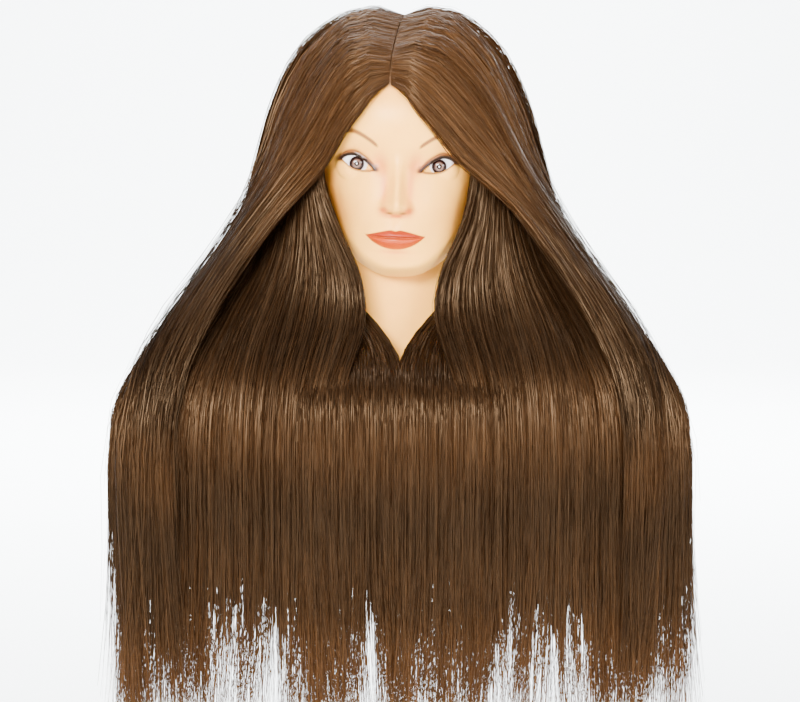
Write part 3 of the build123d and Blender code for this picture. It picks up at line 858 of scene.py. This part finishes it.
def combed_fibres(sheet, name, count, margin, rng):
    """Paths of the fibres of one section, with their normals, sideways directions and places along."""
    run = np.r_[np.linspace(0, 0.62, 15), np.linspace(0.62, 1, 5)[1:]]
    s = rng.uniform(-margin, 1 + margin, count)
    s = s - (rng.uniform(0, 1, count) < 0.06) * np.abs(rng.normal(0, 0.014, count))
    big = lock_tips(s, 6, rng)
    mid = lock_tips(s, 30, rng)
    small = lock_tips(s, 260, rng)
    depth = SHEET_DEPTH * rng.beta(1.1, 1.3 if name == "back" else 1.8, count)
    luck = rng.uniform(0, 1, count)
    short = 0.6 * big["short"] + 0.35 * mid["short"] + 0.15 * small["short"]
    short = short + 0.33 * (1 - luck**1.5) - 0.02
    end = length_share(s, name) - short.clip(0, 0.44)
    t = run[None] * end[:, None]
    gather = small["pull"][:, None] * 0.32 * smoothstep(0.02, 0.5, t) * (1 - 0.6 * smoothstep(0.6, 0.95, t))
    s_now = s[:, None] + (small["middle"] - s)[:, None] * gather
    for lock, pull, start in ((mid, 0.34, 0.66), (big, 0.34, 0.60)):
        bunch = lock["pull"][:, None] * pull * smoothstep(start, 1.05, t)
        s_now = s_now + (lock["middle"][:, None] - s_now) * bunch
    point = sheet.point(s_now, t)
    normal = sheet.normal(s_now, t)
    root = np.exp(-t / 0.02)
    sink = depth[:, None] + (ROOT_DEPTH[name] - depth[:, None]) * root
    point = point - normal * sink[..., None]
    loose = smoothstep(0.55, 1.0, t)[..., None]
    for lock, drift in ((big, 7.0), (mid, 4.5), (small, 3.0)):
        point += loose**1.5 * lock["drift"][:, None] * (drift, 0.3 * drift, 0)
    point += loose**2 * rng.normal(0, 1, (count, 1, 3)).clip(-2, 2) * (8.0, 3.0, 0)
    stray = (rng.uniform(0, 1, count) < STRAY_SHARE)[:, None, None]
    wander = rng.normal(0, 1, (count, 1, 3)).clip(-1.5, 1.5) * (8.0, 2.0, 2.0)
    wander = wander * smoothstep(0.25, 0.95, t)[..., None]
    lift = normal * (rng.uniform(1, 7, count)[:, None] * smoothstep(0.04, 0.3, t))[..., None]
    point += stray * (wander + lift * (name == "top"))
    phase, rate = rng.uniform(0, 2 * np.pi, (count, 1)), rng.uniform(3, 9, (count, 1))
    sway = 0.55 * np.sin(phase + rate * 2 * np.pi * t) * smoothstep(0.03, 0.25, t)
    side = np.cross(normal, np.gradient(point, axis=1))
    side /= np.maximum(np.linalg.norm(side, axis=-1, keepdims=True), 1e-9)
    point += side * sway[..., None] + normal * (0.35 * np.cos(phase * 1.7 + rate * 7 * t))[..., None]
    point = np.clip(point, (-REACH[0], -REACH[1], TIP - 3), REACH)
    return point, normal, side, t, t / end[:, None]


def slant_parting(vertices):
    """Lets the parting run from the right of the middle at the crown to the left of it at the hairline."""
    shift = np.interp(vertices[:, 1], [-97, -82, -60, -25, 35, 95], [-8.0, -8.0, -4.0, 2.5, 3.5, 2.0])
    middle = np.exp(-((vertices[:, 0] / 62.0) ** 4))
    vertices[:, 0] += shift * middle * smoothstep(130, 175, vertices[:, 2])


def painted_light_place(name, t):
    """Where a place along a section reads the painted light and shade of the hair's length table."""
    return PAINTED_LIGHT_START[name] + (1 - PAINTED_LIGHT_START[name]) * t


def add_strands(name, sheet, count, margin, side, rng):
    """The visible fibres of one section on one side of the head."""
    paths, normal, flat, reach, along = combed_fibres(sheet, name, count, margin, rng)
    tilt = rng.uniform(-1.0, 1.0, (count, 1, 1))
    tilt = tilt + 0.5 * np.sin(3 * along[..., None] + rng.uniform(0, 6, (count, 1, 1)))
    across = flat * np.cos(tilt) + normal * np.sin(tilt)
    wide = STRAND_WIDTH * rng.uniform(0.6, 1.25, (count, 1))
    wide = wide * (1 - 0.5 * along**8) * (0.5 + 0.5 * smoothstep(0, 0.05, along))
    reach = painted_light_place(name, reach)
    vertices, quads, uv = ribbons(paths, wide, across, rng.uniform(0, 0.999, count), reach)
    vertices[:, 0] *= side
    slant_parting(vertices)
    label = f"{name}_{side_name(side)}"
    return make_piece(f"strands_{label}", vertices, quads, HAIR, [f"hair_{label}"], uv)


def add_mass(name, sheet, side, rng):
    """The dense inside of a section, so that no light comes through where the hair is thick."""
    columns, rows = 150, 80
    s = np.linspace(0.01, 0.99, columns)
    ends = 0.73 + 0.03 * np.sin(s * 37 + rng.uniform(0, 6)) + 0.02 * np.sin(s * 91)
    ends = ends + 0.02 * rng.normal(0, 1, columns)
    t = np.linspace(0.012, 1, rows)[:, None] * np.minimum(ends, 0.93)[None]
    s = np.tile(s, (rows, 1))
    point, normal = sheet.point(s, t), sheet.normal(s, t)
    ridge = 0.5 * rng.normal(0, 1, columns)[None] * np.ones((rows, 1))
    thin = smoothstep(0.60, 0.75, t)
    edge = smoothstep(0.0, 0.06, s) * smoothstep(1.0, 0.94, s) * smoothstep(0.0, 0.04, t)
    top = MASS_DEPTH[name] + 0.4 - (0.6 + 0.6 * ridge) * edge
    outside = point - normal * (top + 0.3 * thin)[..., None]
    inside = point - normal * (MASS_DEPTH[name] + MASS_THICKNESS[name])
    vertices = np.concatenate([outside.reshape(-1, 3), inside.reshape(-1, 3)])
    front = grid_faces(rows, columns)
    back = front[:, ::-1] + rows * columns
    ring = np.concatenate([
        np.arange(columns),
        np.arange(1, rows) * columns + columns - 1,
        (rows - 1) * columns + np.arange(columns - 2, -1, -1),
        np.arange(rows - 2, 0, -1) * columns,
    ])
    after = np.roll(ring, -1)
    walls = np.stack([ring, after, after + rows * columns, ring + rows * columns], 1)
    uv = np.stack([(0.1 + 0.5 * s).ravel(), painted_light_place(name, t).ravel()], 1)
    vertices[:, 0] *= side
    slant_parting(vertices)
    label = f"{name}_{side_name(side)}"
    return make_piece(f"mass_{label}", vertices, np.concatenate([front, back, walls]), HAIR,
                      [f"hair_{label}"], np.concatenate([uv, uv]))


def add_hair():
    """Every section on both sides, each with seeded randomness of its own."""
    for order, (name, (guides, count, margin)) in enumerate(SECTIONS.items()):
        sheet = Sheet(guides)
        for side in (-1, 1):
            rng = np.random.default_rng(100 * order + 10 + side)
            add_mass(name, sheet, side, rng)
            add_strands(name, sheet, count, margin, side, rng)


# ---- carried-over parts --------------------------------------------------------------------
def finish_cad_nodes():
    """Gives the CAD nodes that are carried over their own materials."""
    for node, material in {"socket_tube": SOCKET, "base_plate": BOARD, "base_screws": SCREW}.items():
        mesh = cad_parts[node].data
        mesh.materials.clear()
        mesh.materials.append(material)


# ---- studio --------------------------------------------------------------------------------
def add_stage():
    """A pale sweep in metres: floor that curves up into the backdrop."""
    low, far, bend = -0.345, 6.0, 2.2
    near, high, half_width = -7.0, 6.0, 8.0
    arc = [math.radians(angle) for angle in np.linspace(0, 90, 24)]
    curve = [(far - bend + bend * math.sin(a), low + bend * (1 - math.cos(a))) for a in arc]
    line = [(near, low), *curve, (far, high)]
    points = [(x, y, z) for y, z in line for x in (-half_width, half_width)]
    quads = [(2 * i, 2 * i + 1, 2 * i + 3, 2 * i + 2) for i in range(len(line) - 1)]
    mesh = bpy.data.meshes.new("sweep")
    mesh.from_pydata(points, [], quads)
    for polygon in mesh.polygons:
        polygon.use_smooth = True
    sweep = bpy.data.objects.new("sweep", mesh)
    bpy.context.scene.collection.objects.link(sweep)
    mesh.materials.append(PAPER)


def add_light(name, place, aim, size, power, colour=(1, 1, 1)):
    """A rectangular soft lamp."""
    lamp = bpy.data.lights.new(name, "AREA")
    lamp.shape = "RECTANGLE"
    lamp.size, lamp.size_y = size
    lamp.energy = power
    lamp.color = colour
    light = bpy.data.objects.new(name, lamp)
    light.location = place
    light.rotation_euler = (Vector(aim) - Vector(place)).to_track_quat("-Z", "Y").to_euler()
    bpy.context.scene.collection.objects.link(light)


def add_studio():
    """The sweep, soft lamps and the pale light all round."""
    add_stage()
    add_light("key", (-0.6, -2.6, 0.85), (0, 0, 0.03), (1.1, 0.45), 275, (1.0, 0.985, 0.96))
    add_light("fill", (1.5, -2.2, 0.6), (0, 0, 0.0), (1.0, 0.7), 75)
    add_light("top", (-0.1, -0.5, 1.9), (0, 0, 0.25), (0.9, 0.5), 34)
    add_light("backdrop", (0, 1.9, 2.7), (0, 4.6, -0.1), (4.0, 1.6), 1500, (0.97, 0.99, 1.0))
    add_light("floor", (0, 0.7, 2.2), (0, 1.6, -0.3), (2.2, 0.6), 160, (0.97, 0.99, 1.0))
    add_light("rear", (1.6, 2.6, 1.2), (0, 0, 0.05), (1.0, 1.0), 45, (1.0, 0.97, 0.93))
    world = bpy.data.worlds.new("studio")
    world.use_nodes = True
    background = world.node_tree.nodes["Background"]
    background.inputs["Color"].default_value = (0.93, 0.96, 0.98, 1)
    background.inputs["Strength"].default_value = 0.9
    bpy.context.scene.world = world


def add_camera():
    """A long lens in front of the face, a little above it, as in the photograph."""
    place, aim = Vector((0.0, -2.0, 0.20)), Vector((0.0, 0.0, 0.025))
    data = bpy.data.cameras.new("camera")
    data.sensor_width = 36
    data.lens = 108
    camera = bpy.data.objects.new("camera", data)
    camera.location = place
    camera.rotation_euler = (aim - place).to_track_quat("-Z", "Y").to_euler()
    bpy.context.scene.collection.objects.link(camera)
    bpy.context.scene.camera = camera


add_head()
add_foam()
for side in (-1, 1):
    add_ear(side)
    add_eye(side)
    add_lashes(side, np.random.default_rng(7 + side))
add_hair()
finish_cad_nodes()
add_studio()
add_camera()
